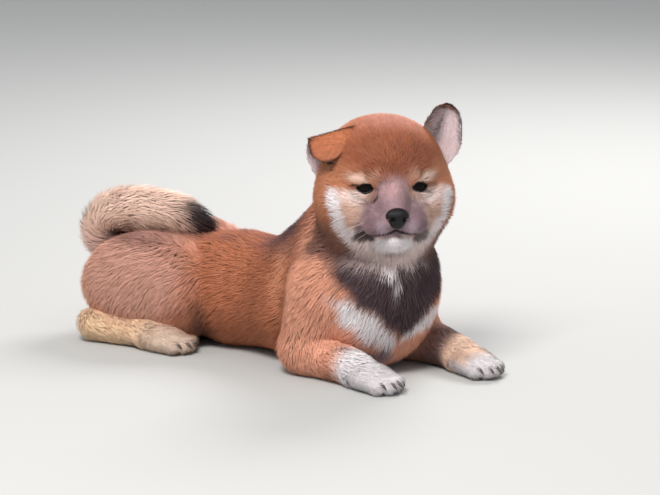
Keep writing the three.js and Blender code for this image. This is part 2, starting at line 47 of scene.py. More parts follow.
# Driving sizes, in millimetres as in the solids
TRUNK_LENGTH = 308.0
SPINE_BEND = 34.0
CHEST_WIDTH = 112.0
BACK_HEIGHT = 99.0
WITHERS_HEIGHT = 122.0
HEAD_AT = (55.6, -2.0, 170.5)
HEAD_TURN = -43.0
HEAD_NOD = 4.0
TAIL_RADIUS = 19.5
EYE_RADIUS = 8.4
LID = 1.3
EYE = {"forward": 44, "aside": 24.5, "up": -7, "tilt": 6, "outward": 20}
NOSE = {"forward": 59.5, "up": -26.0, "width": 19.0}
NOSE_REACH = 15
LIPS = {"half": 23.5, "up": -39.6, "peak": 1.6, "peak_half": 3.0, "droop": 2.2, "radius": 1.2}
FORE_REACH = 68.0
PAW = {"length": 44.0, "width": 37.0, "height": 23.0, "toe": 8.0}
TOES = (-1.5, -0.5, 0.5, 1.5)
CLAW = {"length": 9.0, "radius": 1.7, "bend": 50}
RUMP_AT = (-230.0, -7.0)
SKIN_CELL = 1.7
JOIN = {"head": 9, "body": 18, "legs": 11, "tail": 7}
FLUFF_DEPTH, FLUFF_LENGTH = 3.5, 5
# Lowest heights above the floor: the skin's form, its points and the hair
FORM_LOW, SKIN_POINT_LOW, HAIR_LOW = 0.6, 0.4, 0.25


# Frames: x forward, y left, z up, turned left and nodded down by degrees
def frame_at(at, turn=0.0, nod=0.0, roll=0.0):
    turned = Matrix.Rotation(math.radians(turn), 4, "Z") @ Matrix.Rotation(math.radians(nod), 4, "Y")
    return np.array(Matrix.Translation(at) @ turned @ Matrix.Rotation(math.radians(roll), 4, "X"))


def in_frame(place, points):
    points = np.asarray(points, float)
    return points @ place[:3, :3].T + place[:3, 3]


def to_frame(place, points):
    return (points - place[:3, 3]) @ place[:3, :3]


# Rounded forms, each a function giving the distance of many points
def ellipsoid(place, centre, radii, turn=0.0, nod=0.0):
    local = (place @ frame_at(centre, turn, nod)).astype(np.float32)
    radii = np.array(radii, np.float32)

    def distance(p):
        q = to_frame(local, p)
        near = np.sqrt(((q / radii) ** 2).sum(1))
        slope = np.sqrt(((q / radii**2) ** 2).sum(1))
        return near * (near - 1) / np.maximum(slope, 1e-9)

    return distance


def limb(place, start, end, start_radius, end_radius):
    a, b = in_frame(place, [start])[0], in_frame(place, [end])[0]
    length = float(np.linalg.norm(b - a))
    a, axis = a.astype(np.float32), ((b - a) / length).astype(np.float32)
    slope = (start_radius - end_radius) / length
    rise = math.sqrt(max(0.0, 1 - slope * slope))

    def distance(p):
        q = p - a
        along = q @ axis
        away = np.sqrt(np.maximum((q * q).sum(1) - along * along, 0))
        fit = along - away * slope / rise
        side = away * rise + along * slope - start_radius
        near = np.hypot(along, away) - start_radius
        far = np.hypot(along - length, away) - end_radius
        return np.where(fit <= 0, near, np.where(fit >= length, far, side))

    return distance


def smooth(a, b, width):
    h = np.maximum(width - np.abs(a - b), 0) / width
    return np.minimum(a, b) - h * h * width / 4


def blend(width, *forms):
    def distance(p):
        d = forms[0](p)
        for form in forms[1:]:
            d = smooth(d, form(p), width)
        return d

    return distance


def spine_frame(share):
    radius = TRUNK_LENGTH / math.radians(SPINE_BEND)
    heading = math.radians(SPINE_BEND * (0.5 - share))
    half = math.radians(SPINE_BEND / 2)
    x = RUMP_AT[0] + radius * (math.sin(half) - math.sin(heading))
    y = RUMP_AT[1] + radius * (math.cos(heading) - math.cos(half))
    return frame_at((x, y, 0), math.degrees(heading))


world = np.eye(4)
head_frame = frame_at(HEAD_AT, HEAD_TURN, HEAD_NOD)
back_half, chest_half = BACK_HEIGHT / 2, CHEST_WIDTH / 2
rump, loin, ribs, shoulders = (spine_frame(s) for s in (0.2, 0.43, 0.65, 0.83))


def at_shoulders(p):
    return in_frame(shoulders, [p])[0]


def at_head(p):
    return in_frame(head_frame, [p])[0]


trunk = blend(
    22,
    ellipsoid(rump, (0, 0, back_half - 2), (62, 54, back_half - 1)),
    ellipsoid(rump, (-31, 0, back_half - 8), (34, 43, 37)),
    ellipsoid(loin, (0, 0, back_half - 3), (66, chest_half - 3, back_half + 1)),
    ellipsoid(ribs, (0, 0, back_half), (62, chest_half, back_half + 3)),
    ellipsoid(shoulders, (0, 2, 62), (50, chest_half, WITHERS_HEIGHT / 2)),
    ellipsoid(shoulders, (-32, 0, 72), (54, 44, 44), 0, -10),
    ellipsoid(shoulders, (24, 6, 60), (38, chest_half - 4, 52)),
)
neck = blend(
    16,
    limb(world, at_shoulders((4, 0, 88)), at_head((-12, 0, -14)), 48, 43),
    limb(world, at_shoulders((-28, 0, 90)), at_head((-26, 2, -16)), 38, 36),
    limb(world, at_shoulders((20, 7, 78)), at_head((-6, 2, -38)), 47, 44),
)
cranium = blend(
    14,
    ellipsoid(head_frame, (-4, 0, 3), (45, 48, 39)),
    ellipsoid(head_frame, (16, 0, 10), (27, 37, 27)),
    *[ellipsoid(head_frame, (5, 31 * s, -23), (35, 26.5, 31)) for s in (1, -1)],
    *[ellipsoid(head_frame, (28.5, 17 * s, 3), (11, 14, 9)) for s in (1, -1)],
    ellipsoid(head_frame, (8, 0, -46), (36, 37, 27)),
)
muzzle = blend(
    6,
    limb(head_frame, (24, 0, -16), (54, 0, -26), 17, 10.5),
    *[ellipsoid(head_frame, (43, 12 * s, -33.5), (20, 15, 12), 12 * s) for s in (1, -1)],
    *[ellipsoid(head_frame, (28, 20 * s, -30), (18, 13, 15)) for s in (1, -1)],
)
chin = blend(
    6,
    ellipsoid(head_frame, (41, 0, -48), (18, 14.5, 10)),
    ellipsoid(head_frame, (24, 0, -48), (22, 22, 13)),
)

ELBOWS = {"right": (6, -38, 0), "left": (42, 57, 0)}
FORE_TURN = {"right": -11, "left": -13}
OUT = {"left": 1, "right": -1}
SIDES = ("left", "right")
fore_frame = {s: frame_at(ELBOWS[s], FORE_TURN[s]) for s in SIDES}
hip = spine_frame(0.19)
hind_frame = {s: hip @ frame_at((-40, 58 * OUT[s], 0), 4 * OUT[s]) for s in SIDES}
elbow_top = {s: in_frame(fore_frame[s], [(-1, 0, 23.5)])[0] for s in SIDES}
upper_foreleg = {
    s: limb(world, at_shoulders((4, 40 * OUT[s] + 3, 68)), elbow_top[s], 32, 24) for s in SIDES
}
forearm = {s: limb(fore_frame[s], (0, 0, 20.5), (FORE_REACH - 12, 0, 14), 21, 15.5) for s in SIDES}
thigh = {
    s: blend(
        16,
        ellipsoid(hip, (-2, 41 * OUT[s], 51), (62, 30, 45), -3 * OUT[s], -6),
        ellipsoid(hip, (34, 44 * OUT[s], 38), (27, 22, 32)),
    )
    for s in SIDES
}
shank = {s: limb(hind_frame[s], (-4, 0, 15), (50, 0, 12), 15.5, 12.5) for s in SIDES}
paw_frames = {
    "fore_left": fore_frame["left"] @ frame_at((FORE_REACH - 4, 0, 0), -4),
    "fore_right": fore_frame["right"] @ frame_at((FORE_REACH - 4, 0, 0), 2),
    "hind_left": hind_frame["left"] @ frame_at((54, 0, 0), 4),
    "hind_right": hind_frame["right"] @ frame_at((54, 0, 0), -4),
}


def toe_tip(place):
    spread = (PAW["width"] - 2 * PAW["toe"]) / 3
    return np.array([PAW["length"] - PAW["toe"] - abs(place) * 5, place * spread, PAW["toe"] - 0.8])


def paw(place):
    toes = []
    for spot in TOES:
        x, y, z = toe_tip(spot)
        toes.append(limb(place, (x - 18, y * 0.8, z + 3), (x, y, z), PAW["toe"] + 1, PAW["toe"]))
    top = ellipsoid(place, (9, 0, PAW["height"] / 2 - 1), (22, PAW["width"] / 2 - 1, PAW["height"] / 2))
    return blend(5, top, blend(2, *toes))


paws = {name: paw(place) for name, place in paw_frames.items()}

TAIL_ROUTE = ((-42, -4, 60), (-64, -6, 78), (-59, -7, 96), (-34, -6, 104.5), (0, -4, 104.5), (26, -1, 99))


def through(points, count):
    """A smooth line through the points."""
    p = np.asarray(points, float)
    p = np.vstack([2 * p[0] - p[1], p, 2 * p[-1] - p[-2]])
    out = []
    for share in np.linspace(0, len(points) - 1, count):
        i = min(int(share), len(points) - 2)
        t = share - i
        a, b, c, d = p[i : i + 4]
        second, third = 2 * a - 5 * b + 4 * c - d, 3 * b - a - 3 * c + d
        out.append(0.5 * (2 * b + (c - a) * t + second * t**2 + third * t**3))
    return np.array(out)


TAIL_STEPS = 24
tail_line = through(in_frame(rump, TAIL_ROUTE), TAIL_STEPS + 1)


def tail_radius(share):
    swell = 0.86 + 0.22 * math.sin(math.pi * min(1, share * 1.1))
    tip = math.sqrt(max(0, 1 - (max(0, share - 0.76) / 0.3) ** 2))
    return TAIL_RADIUS * swell * tip


tail = blend(
    4,
    *[
        limb(
            world,
            tail_line[i],
            tail_line[i + 1],
            tail_radius(i / TAIL_STEPS),
            tail_radius((i + 1) / TAIL_STEPS) - 0.01,
        )
        for i in range(TAIL_STEPS)
    ],
)

# How each form wears its coat: depth, hair length, hair width and tufts per square millimetre
COAT = {
    "trunk": (6.5, 13.0, 0.62, 0.8),
    "neck": (7.0, 14.0, 0.62, 0.85),
    "cranium": (3.6, 7.0, 0.45, 2.0),
    "muzzle": (1.5, 2.9, 0.36, 4.5),
    "chin": (2.0, 4.2, 0.42, 3.4),
    "upper_foreleg": (6.0, 12.0, 0.62, 0.9),
    "forearm": (4.2, 8.5, 0.6, 1.2),
    "thigh": (6.2, 12.5, 0.62, 0.85),
    "shank": (4.2, 8.5, 0.6, 1.2),
    "paw": (2.2, 4.6, 0.5, 2.4),
    "tail": (9.0, 18.0, 0.7, 1.1),
}
LIMBS = {"thigh": thigh, "shank": shank, "upper_foreleg": upper_foreleg, "forearm": forearm, "paw": paws}
PARTS = (
    [("trunk", trunk, None), ("neck", neck, None), ("cranium", cranium, None)]
    + [("muzzle", muzzle, None), ("chin", chin, None), ("tail", tail, None)]
    + [(kind, form, side) for kind, forms in LIMBS.items() for side, form in forms.items()]
)
KIND = [name for name, _, _ in PARTS]


def part_distances(p):
    return np.stack([form(p) for _, form, _ in PARTS], 1).astype(np.float32)


def closeness(d, reach=5.0):
    w = np.exp(-np.clip(d - d.min(1, keepdims=True), 0, 60) / reach)
    return w / w.sum(1, keepdims=True)


def coat_value(d, column):
    return closeness(d) @ np.array([COAT[k][column] for k in KIND], np.float32)


def cheek_fluff(p):
    """Longer coat on the cheeks and below them, 0 to 1."""
    f, l, u = to_frame(head_frame, p).T
    side = np.exp(-(((np.abs(l) - 40) / 17) ** 2) - ((u + 34) / 20) ** 2)
    under = np.exp(-((l / 40) ** 2) - ((u + 66) / 10) ** 2)
    return np.clip(side + under, 0, 1) * np.clip((44 - f) / 20, 0, 1)


# Surface of a form as a mesh: one vertex in each cell that the surface crosses
def surface(form, low, high, cell, block=5):
    low = np.asarray(low, np.float32)
    size = np.ceil((np.asarray(high) - low) / (cell * block)).astype(int)
    dims = size * block + 1
    wide = cell * block
    axes = [low[a] + wide * (np.arange(size[a]) + 0.5) for a in range(3)]
    centres = np.stack(np.meshgrid(*axes, indexing="ij"), -1).reshape(-1, 3).astype(np.float32)
    d = form(centres)
    near = np.abs(d) < wide * 1.25
    values = np.repeat(np.repeat(np.repeat(d.reshape(size), block, 0), block, 1), block, 2)
    values = np.pad(values, ((0, 1),) * 3, constant_values=9.0).astype(np.float32)
    cells = np.argwhere(near.reshape(size))
    step = np.stack(np.meshgrid(*[np.arange(block + 1)] * 3, indexing="ij"), -1).reshape(-1, 3)
    spots = (cells[:, None] * block + step[None]).reshape(-1, 3)
    flat = np.unique(np.ravel_multi_index(spots.T, dims))
    spots = np.stack(np.unravel_index(flat, dims), 1)
    places = (low + spots * cell).astype(np.float32)
    values.reshape(-1)[flat] = np.concatenate([form(part) for part in np.array_split(places, 8)])
    for axis in range(3):
        ends = [slice(None)] * 3
        for end in (0, -1):
            ends[axis] = end
            values[tuple(ends)] = np.maximum(values[tuple(ends)], 0.01)
    inside = values < 0
    total = np.zeros(dims - 1, np.int8)
    for a, b, c in np.ndindex(2, 2, 2):
        total += inside[a : dims[0] - 1 + a, b : dims[1] - 1 + b, c : dims[2] - 1 + c]
    crossed = np.argwhere((total > 0) & (total < 8))
    corners = np.array(list(np.ndindex(2, 2, 2)))
    at = values[tuple((crossed[:, None] + corners).transpose(2, 0, 1))]
    gathered = np.zeros((len(crossed), 3))
    count = np.zeros(len(crossed))
    for i, a in enumerate(corners):
        for j in range(i + 1, 8):
            b = corners[j]
            if np.abs(a - b).sum() != 1:
                continue
            cut = (at[:, i] < 0) != (at[:, j] < 0)
            share = at[cut, i] / (at[cut, i] - at[cut, j])
            gathered[cut] += a + share[:, None] * (b - a)
            count[cut] += 1
    points = (low + (crossed + gathered / count[:, None]) * cell).astype(np.float32)
    number = np.full(dims - 1, -1)
    number[tuple(crossed.T)] = np.arange(len(crossed))
    quads = []
    for axis in range(3):
        after = [slice(1, n - 1) for n in dims]
        after[axis] = slice(0, dims[axis] - 1)
        ahead = list(after)
        ahead[axis] = slice(1, dims[axis])
        a, b = inside[tuple(after)], inside[tuple(ahead)]
        spots = np.argwhere(a != b) + [s.start for s in after]
        u, v = np.eye(3, dtype=int)[(axis + 1) % 3], np.eye(3, dtype=int)[(axis + 2) % 3]
        ring = np.stack([number[tuple((spots - o).T)] for o in (u + v, v, 0 * u, u)], 1)
        out = ~inside[tuple(spots.T)]
        ring[out] = ring[out][:, ::-1]
        quads.append(ring)
    return points, np.vstack(quads)


def slope_of(form, points, step=0.35):
    out = np.zeros(points.shape, np.float32)
    for axis in range(3):
        move = np.zeros(3, np.float32)
        move[axis] = step
        out[:, axis] = (form(points + move) - form(points - move)) / (2 * step)
    return out


def settled(form, points, reach):
    """Points moved once along the form's slope towards its surface, by no more than the reach."""
    slope = slope_of(form, points)
    nearer = points - slope * (form(points) / np.maximum((slope**2).sum(1), 0.3))[:, None]
    moved = nearer - points
    far = np.linalg.norm(moved, axis=1, keepdims=True)
    return (points + moved * np.minimum(1, reach / np.maximum(far, 1e-6))).astype(np.float32)


def unit(v):
    return v / np.maximum(np.linalg.norm(v, axis=-1, keepdims=True), 1e-9)


# Nose: a rounded pad with two comma-shaped nostrils and a groove down its middle
def near_nose(forward, left, up):
    return NOSE["forward"] + forward, left, NOSE["up"] + up


nose_pad = blend(
    3,
    ellipsoid(head_frame, near_nose(0, 0, 1.5), (6.5, NOSE["width"] / 2, 6.4)),
    ellipsoid(head_frame, near_nose(-1, 0, -4), (6, NOSE["width"] / 2 - 3.4, 5.4)),
)
nostrils = [
    *[ellipsoid(head_frame, near_nose(5.6, 4.6 * s, -0.4), (3.4, 1.7, 1.9)) for s in (1, -1)],
    *[ellipsoid(head_frame, near_nose(3.4, 7.8 * s, -1.2), (3.6, 2.4, 0.8)) for s in (1, -1)],
]
groove = limb(head_frame, near_nose(6.6, 0, -2), near_nose(3.6, 0, -10), 0.45, 0.6)


def nose_form(p):
    d = nose_pad(p)
    for cut in nostrils:
        d = -smooth(-d, cut(p), 1.2)
    return -smooth(-d, groove(p), 0.8)


# The solids stand with the middle of their footprint at the origin. The nose shows how far that moved them.
nose_centre = at_head(near_nose(0, 0, -1))
pad_points, _ = surface(nose_pad, nose_centre - NOSE_REACH, nose_centre + NOSE_REACH, 0.8)
nose_low, nose_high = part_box("nose")
nose_middle = (np.array(nose_low) + np.array(nose_high)) / 2 * 1000
shift = nose_middle - (pad_points.min(0) + pad_points.max(0)) / 2
shift[2] = 0


def to_row(points):
    return (points + shift) / 1000


# Eyes: a ball behind an almond opening
def eye_place(side):
    out = OUT[side]
    at = (EYE["forward"], EYE["aside"] * out, EYE["up"])
    place = head_frame @ frame_at(at, EYE["outward"] * out, 0, EYE["tilt"] * out)
    low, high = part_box(f"eye_{side}")
    place[:3, 3] = (np.array(low) + np.array(high)) / 2 * 1000 - shift
    return place


eye_frames = {s: eye_place(s) for s in SIDES}
ALMOND = {"half": 7.0, "top": 4.5, "bottom": 3.7, "drop": -1.3}


def almond_edges(y, side):
    """Upper and lower edge of the opening, across from its inner (-1) to its outer (1) corner."""
    t = np.clip(y * OUT[side] / ALMOND["half"], -1, 1)
    middle = ALMOND["drop"] * t * 0.6
    upper = middle + ALMOND["top"] * (1 - np.abs(t + 0.15 * (1 - t * t)) ** 2.2)
    lower = middle - ALMOND["bottom"] * (1 - t * t) ** 0.9
    return upper, lower


def with_eyes(d, p):
    """Lids close round each ball, leaving the opening."""
    for side in SIDES:
        q = to_frame(eye_frames[side].astype(np.float32), p)
        near = (np.abs(q) < 20).all(1)
        if not near.any():
            continue
        x, y, z = q[near].T
        lid = np.sqrt((q[near] ** 2).sum(1)) - EYE_RADIUS - LID
        closed = smooth(d[near], lid, 5)
        upper, lower = almond_edges(y, side)
        opening = np.maximum(np.maximum(z - upper, lower - z), np.abs(y) - ALMOND["half"])
        opening = np.maximum(opening, 2 - x)
        d[near] = np.maximum(closed, -opening)
    return d


def solid_value(d):
    """The outer form of the coat from the distances of its parts."""
    column = {(name, side): d[:, i] for i, (name, _, side) in enumerate(PARTS)}
    head = smooth(column["cranium", None], column["muzzle", None], JOIN["head"])
    head = smooth(head, column["chin", None], JOIN["head"])
    body = smooth(column["trunk", None], column["neck", None], JOIN["body"])
    body = smooth(body, head, JOIN["body"])
    for s in SIDES:
        for name in ("thigh", "shank", "upper_foreleg", "forearm"):
            body = smooth(body, column[name, s], JOIN["legs"])
    for name in paws:
        body = smooth(body, column["paw", name], JOIN["legs"])
    return smooth(body, column["tail", None], JOIN["tail"])


def skin_form(p):
    """The skin, which lies below the coat's outer form by the coat's depth."""
    p = np.asarray(p, np.float32)
    distances = part_distances(p)
    depth = coat_value(distances, 0) + FLUFF_DEPTH * cheek_fluff(p)
    return with_eyes(np.maximum(solid_value(distances) + depth, FORM_LOW - p[:, 2]), p)


SKIN_LOW, SKIN_HIGH = (-300, -130, -4), (170, 120, 230)
skin_points, skin_quads = surface(skin_form, SKIN_LOW, SKIN_HIGH, SKIN_CELL)
skin_points = settled(skin_form, skin_points, SKIN_CELL * 0.6)
skin_points[:, 2] = np.maximum(skin_points[:, 2], SKIN_POINT_LOW)
skin_normals = unit(slope_of(skin_form, skin_points, 0.6))


def add_mesh(name, points, faces, colours=None, normals=None, uvs=None, material=None):
    """A mesh object from arrays; points are in metres in the row's frame."""
    mesh = bpy.data.meshes.new(name)
    sides = faces.shape[1]
    mesh.vertices.add(len(points))
    mesh.vertices.foreach_set("co", np.ascontiguousarray(points, np.float32).ravel())
    mesh.loops.add(faces.size)
    mesh.loops.foreach_set("vertex_index", np.ascontiguousarray(faces, np.int32).ravel())
    mesh.polygons.add(len(faces))
    mesh.polygons.foreach_set("loop_start", np.arange(0, faces.size, sides, dtype=np.int32))
    mesh.polygons.foreach_set("use_smooth", np.ones(len(faces), bool))
    if uvs is not None:
        layer = mesh.uv_layers.new(name="OFBake")
        layer.data.foreach_set("uv", np.ascontiguousarray(uvs[faces.ravel()], np.float32).ravel())
    mesh.update(calc_edges=True)
    if colours is not None:
        attribute = mesh.color_attributes.new("coat", "FLOAT_COLOR", "POINT")
        full = np.ones((len(points), 4), np.float32)
        full[:, :3] = colours
        attribute.data.foreach_set("color", full.ravel())
    if normals is not None:
        mesh.normals_split_custom_set_from_vertices(normals.astype(np.float32))
    thing = bpy.data.objects.new(name, mesh)
    bpy.context.scene.collection.objects.link(thing)
    if material:
        mesh.materials.append(material)
    return thing


# Colours as they look in daylight, from 0 to 255
RED = (182, 112, 80)
ORANGE = (234, 166, 138)
DEEP_RED = (146, 84, 58)
CROWN = (172, 112, 98)
CREAM = (236, 216, 210)
WHITE = (252, 242, 244)
MASK = (152, 124, 132)
SABLE = (68, 54, 61)
RIDGE = (104, 76, 78)
BLACK = (44, 36, 40)
EAR_PINK = (226, 200, 202)


def light(colour):
    """A daylight colour as the light values that materials use."""
    c = np.array(colour, np.float64) / 255
    return np.where(c <= 0.04045, c / 12.92, ((c + 0.055) / 1.055) ** 2.4)


def soft(x, start, end):
    t = np.clip((x - start) / (end - start), 0, 1)
    return t * t * (3 - 2 * t)


def blob(*pairs):
    """1 at a place, falling away from it: each pair is an offset and its reach."""
    r = sum((np.asarray(offset) / reach) ** 2 for offset, reach in pairs)
    return np.exp(-(r**1.3))


def wave(p, size, seed):
    """A smooth random value from -1 to 1 that changes over the given size."""
    local = np.random.default_rng(seed)
    total = np.zeros(len(p))
    for _ in range(7):
        way = local.normal(size=3)
        way *= 2 * math.pi / size / np.linalg.norm(way) * local.uniform(0.6, 1.3)
        total += np.sin(p @ way + local.uniform(0, 6.3))
    return total / 3.2


def waves(p, size, seed):
    return np.stack([wave(p, size, seed + i) for i in range(3)], 1)


def laid(colour, mask, over):
    """The colours with a daylight colour over them, as strongly as the mask says."""
    mask = np.clip(mask, 0, 1)[:, None]
    return colour * (1 - mask) + light(over) * mask


class Paint:
    """Colours at a number of places. Each call lays another daylight colour over them."""

    def __init__(self, base, count):
        self.colour = np.tile(light(base), (count, 1))

    def __call__(self, mask, over):
        self.colour = laid(self.colour, mask, over)
        return self.colour


def nearest_on_tail(p):
    return ((p[:, None, :] - tail_line[None]) ** 2).sum(2).argmin(1)


def body_colours(p, n):
    p = p + 2.2 * waves(p, 17, 1)
    z = p[:, 2]
    lay = Paint(RED, len(p))
    # Thigh and rump, with painted highlights on them
    hx, hy, _ = to_frame(hip, p).T
    lay(0.9 * soft(blob((hx + 4, 54), (z - 60, 40)), 0.1, 0.8), (214, 162, 144))
    lay(0.8 * blob((hx + 62, 26), (z - 44, 36)), (226, 170, 146))
    # Painted shade along the thigh's lower edge and in the fold at the knee
    lay(0.6 * blob((hx + 8, 34), (z - 20, 12)), (170, 116, 96))
    lay(0.5 * blob((hx - 52, 16), (z - 24, 22)), (136, 90, 72))
    lay(0.75 * blob((hx - 56, 7), (z - 26, 18)) * (np.abs(hy) > 30), (84, 58, 52))
    # Shoulders, forelegs and the stripes behind them
    sx, sy, _ = to_frame(shoulders, p).T
    near_side = 1 - soft(sy, -6, 14)
    lay(0.85 * soft(sx, -32, -2), (232, 166, 138))
    lay(0.9 * soft(sx, -30, 20) * (1 - soft(z, 50, 88)), ORANGE)
    lay(0.8 * blob((sx + 35, 8), (z - 84, 30)), (222, 152, 118))
    lay(0.5 * blob((sx + 18, 5), (z - 84, 30)) * near_side, (150, 92, 68))
    lay(0.5 * blob((sx + 58, 13), (z - 66, 40)), (146, 88, 64))
    # Dark hairs along the back
    top = soft(n[:, 2], 0.3, 0.85) * soft(z, 82, 98)
    lay(0.8 * top * soft(hx, -60, -10) * (1 - soft(sx, -36, -4)), RIDGE)
    lay(0.9 * blob((sx + 50, 26), (z - 118, 20)) * soft(n[:, 2], 0.1, 0.5), SABLE)
    lay(0.45 * soft(n[:, 2], 0.5, 0.95) * soft(z, 80, 90) * (hx < 40), (110, 76, 72))
    # The dark front of the chest, with white marks along its lower edges
    off = sy + 1 + 0.22 * np.clip(z - 38, 0, 50)
    half = np.where(off < 0, np.clip((z - 41) / 1.15, 0, 26), np.clip((z - 41) / 0.7, 0, 60))
    front = soft(sx, 0, 22) * (1 - soft(z, 124, 150))
    patch = (1 - soft(np.abs(off) - half, -4, np.where(off < 0, 9, 4))) * soft(z, 38, 44)
    lay(0.98 * front * patch, SABLE)
    # Painted shade on the neck behind the cheek, under the head
    shade_behind_cheek = soft(sx, -12, 2) * soft(z, 94, 110) * (1 - soft(z, 142, 166))
    lay(0.85 * shade_behind_cheek, (94, 66, 60))
    forward = soft(sx, 12, 26)
    low_right = soft(blob((z - 31 - 0.88 * (-3 - sy), 9.5), (sy + 26, 22)), 0.1, 0.6) * (sy < 0) * forward
    low_left = soft(blob((z - 43 - 0.4 * (sy - 1), 6.5), (sy - 27, 27)), 0.1, 0.6) * (sy > -1) * forward
    lay(0.98 * np.maximum(low_right, low_left), WHITE)
    # Throat, and the fur between the forelegs
    lay(soft(blob((sy + 13, 6), (z - 97, 4)), 0.2, 0.6) * front, WHITE)
    lay(0.85 * blob((sy + 11.8, 2.0), (z - 84, 8)) * front, (214, 204, 210))
    under_chin = soft(z, 95, 101) * blob((sy + 9, 21)) * soft(sx, 26, 40)
    lay(0.85 * under_chin, (250, 228, 224))
    brisket = blob((sy + 8, 9), (z - 20, 13)) * soft(sx, 20, 40)
    return lay(0.85 * soft(brisket, 0.2, 0.6), (150, 128, 136))


def leg_colours(p, kind, side):
    if kind == "shank":
        return Paint((255, 214, 176), len(p)).colour
    if side.startswith("hind"):
        return Paint((244, 216, 196), len(p)).colour
    side = side.split("_")[-1]
    along = to_frame(fore_frame[side], p)[:, 0]
    lay = Paint(ORANGE, len(p))
    if side == "right":
        return lay(soft(along, 34, 54), WHITE)
    lay(soft(along, 4, 22), (112, 88, 86))
    lay(soft(along, 42, 58), (252, 212, 188))
    white = np.maximum(soft(along, 76, 90), soft(along, 54, 72) * (1 - soft(p[:, 2], 9, 15)))
    return lay(white, WHITE)


def tail_colours(p, n):
    along = nearest_on_tail(p) / TAIL_STEPS
    inward = in_frame(rump, [(-26, -6, 80)])[0] - p
    toward = (unit(inward) * n).sum(1)
    lay = Paint((240, 204, 186), len(p))
    lay(0.6 * soft(toward, -0.75, 0.1), (188, 148, 128))
    lay(0.5 * (1 - soft(along, 0.1, 0.35)), (212, 176, 168))
    lay(0.95 * soft(toward, 0.2, 0.75), SABLE)
    return lay(soft(along + 0.03 * wave(p, 12, 5), 0.76, 0.9), BLACK)


def head_colours(p):
    p = p + 0.9 * waves(p, 9, 11)
    f, l, u = to_frame(head_frame, p).T
    a = np.abs(l)
    face = soft(f, -6, 10)
    lay = Paint((190, 124, 90), len(p))
    lay(0.8 * soft(u, 4, 14) * face, (164, 96, 66))
    lay(0.6 * soft(-f, 8, 32), (156, 100, 78))
    lay(0.8 * soft(u, 27, 42), CROWN)
    lay(0.85 * soft(blob((u - 17, 18), (l, 33)), 0.05, 0.7) * (f > 2), (144, 80, 54))
    vee = np.clip(3 + (u - 5) * 1.5, 0, 24)
    vee = (1 - soft(a - vee, -3, 5)) * soft(u, 2, 7) * (1 - soft(u, 20, 36)) * face
    lay(0.75 * vee, DEEP_RED)
    lay(0.7 * blob((u + 2, 12), (a - 43, 9)) * face, (194, 126, 92))
    lay(0.8 * blob((f, 9), (u + 2, 20), (l - 48, 9)), (104, 70, 66))
    # Painted shade below the folded right ear
    lay(0.85 * blob((f - 10, 10), (u - 5, 8), (l + 34, 9)), (72, 46, 38))
    # The white band round the cheeks and jaw
    ring = ((a / 43) ** 1.7 + (np.maximum(-15 - u, 0) / 51) ** 1.7) ** (1 / 1.7)
    below = soft(-u, 7, 15) * soft(f, -12, 4)
    lay(0.85 * soft(ring, 1.02, 1.12) * soft(-u, 26, 42), (110, 76, 66))
    lay(0.8 * (1 - soft(ring, 0.8, 0.9)) * below, (240, 206, 190))
    band = soft(ring, 0.83, 0.9) * (1 - soft(ring, 1.0, 1.08)) * below
    lay(0.98 * band * (1 - 0.4 * soft(-u, 50, 58)), WHITE)
    lay(0.4 * band * soft(-u, 50, 58), CREAM)
    lay(0.5 * blob((a - 30, 4), (u + 28, 13)) * face, (224, 178, 154))
    # Under the eyes, and the brow spots
    lay(0.95 * blob((a - 27, 9.5), (u + 14.5, 5.5)) * face, (252, 232, 226))
    lay(0.85 * blob((a - 25, 7), (u - 0.2, 3.6)) * face, (248, 218, 200))
    lay(0.5 * blob((a - 13, 4), (u - 2, 5)) * face, (226, 180, 156))
    # Mask, lips and chin
    wide = np.clip(3 + 1.15 * (2 - u), 3, 15) + np.clip((-9 - u) * 0.46, 0, 12)
    mask = (1 - soft(a - wide, -3, 3)) * soft(-u, -3, 6) * (1 - soft(-u, 41, 44)) * soft(f, 22, 32)
    lay(0.95 * mask, MASK)
    lay(0.65 * blob((l, 9), (u + 8, 7)) * face, (212, 168, 170))
    lay(0.6 * blob((a - 11, 5), (u + 34, 5)) * soft(f, 46, 54), (212, 190, 202))
    lay(0.5 * blob((a - 20, 6), (u + 27, 9)) * soft(f, 26, 34), (122, 96, 104))
    lay(0.9 * soft(-u, 41, 44.5) * (1 - soft(a, 24, 30)) * soft(f, 20, 30), CREAM)
    lay(soft(blob((l, 15.5), (u + 50, 8)), 0.2, 0.55) * soft(f, 34, 44), WHITE)
    corner = blob((a - 20.5, 7.0), (u + 44, 4.4)) * soft(f, 22, 32)
    lay(0.95 * soft(corner, 0.2, 0.6), (58, 44, 48))
    # A painted shadow line under the chin
    lay(0.75 * blob((l, 13), (u + 59, 1.8)) * soft(f, 36, 44), (112, 96, 92))
    # Dark marks beside the eyes, and a dark ring round each
    lay(0.75 * blob((a - 18.5, 1.5), (u - 2, 4.5)) * face, (84, 60, 56))
    for side in SIDES:
        q = to_frame(eye_frames[side], p)
        upper, lower = almond_edges(q[:, 1], side)
        middle = (upper + lower) / 2
        ring = blob((q[:, 1], 8.2), (q[:, 2] - middle, 4.7)) * (q[:, 0] > 0)
        lay(soft(ring, 0.35, 0.6), (52, 38, 38))
    return lay.colour


def markings(p, n, weights):
    """The coat's colour at each place, mixed over the parts by how close they are."""
    total = np.zeros((len(p), 3))
    groups = (
        (("trunk", "neck", "upper_foreleg", "thigh"), body_colours(p, n)),
        (("cranium", "muzzle", "chin"), head_colours(p)),
        (("tail",), tail_colours(p, n)),
    )
    for names, colours in groups:
        share = weights[:, [kind in names for kind in KIND]].sum(1)
        total += colours * share[:, None]
    for i, (kind, _, side) in enumerate(PARTS):
        if kind in ("paw", "forearm", "shank"):
            share = weights[:, i]
            close = share > 0.01
            if close.any():
                total[close] += leg_colours(p[close], kind, side) * share[close, None]
    return total


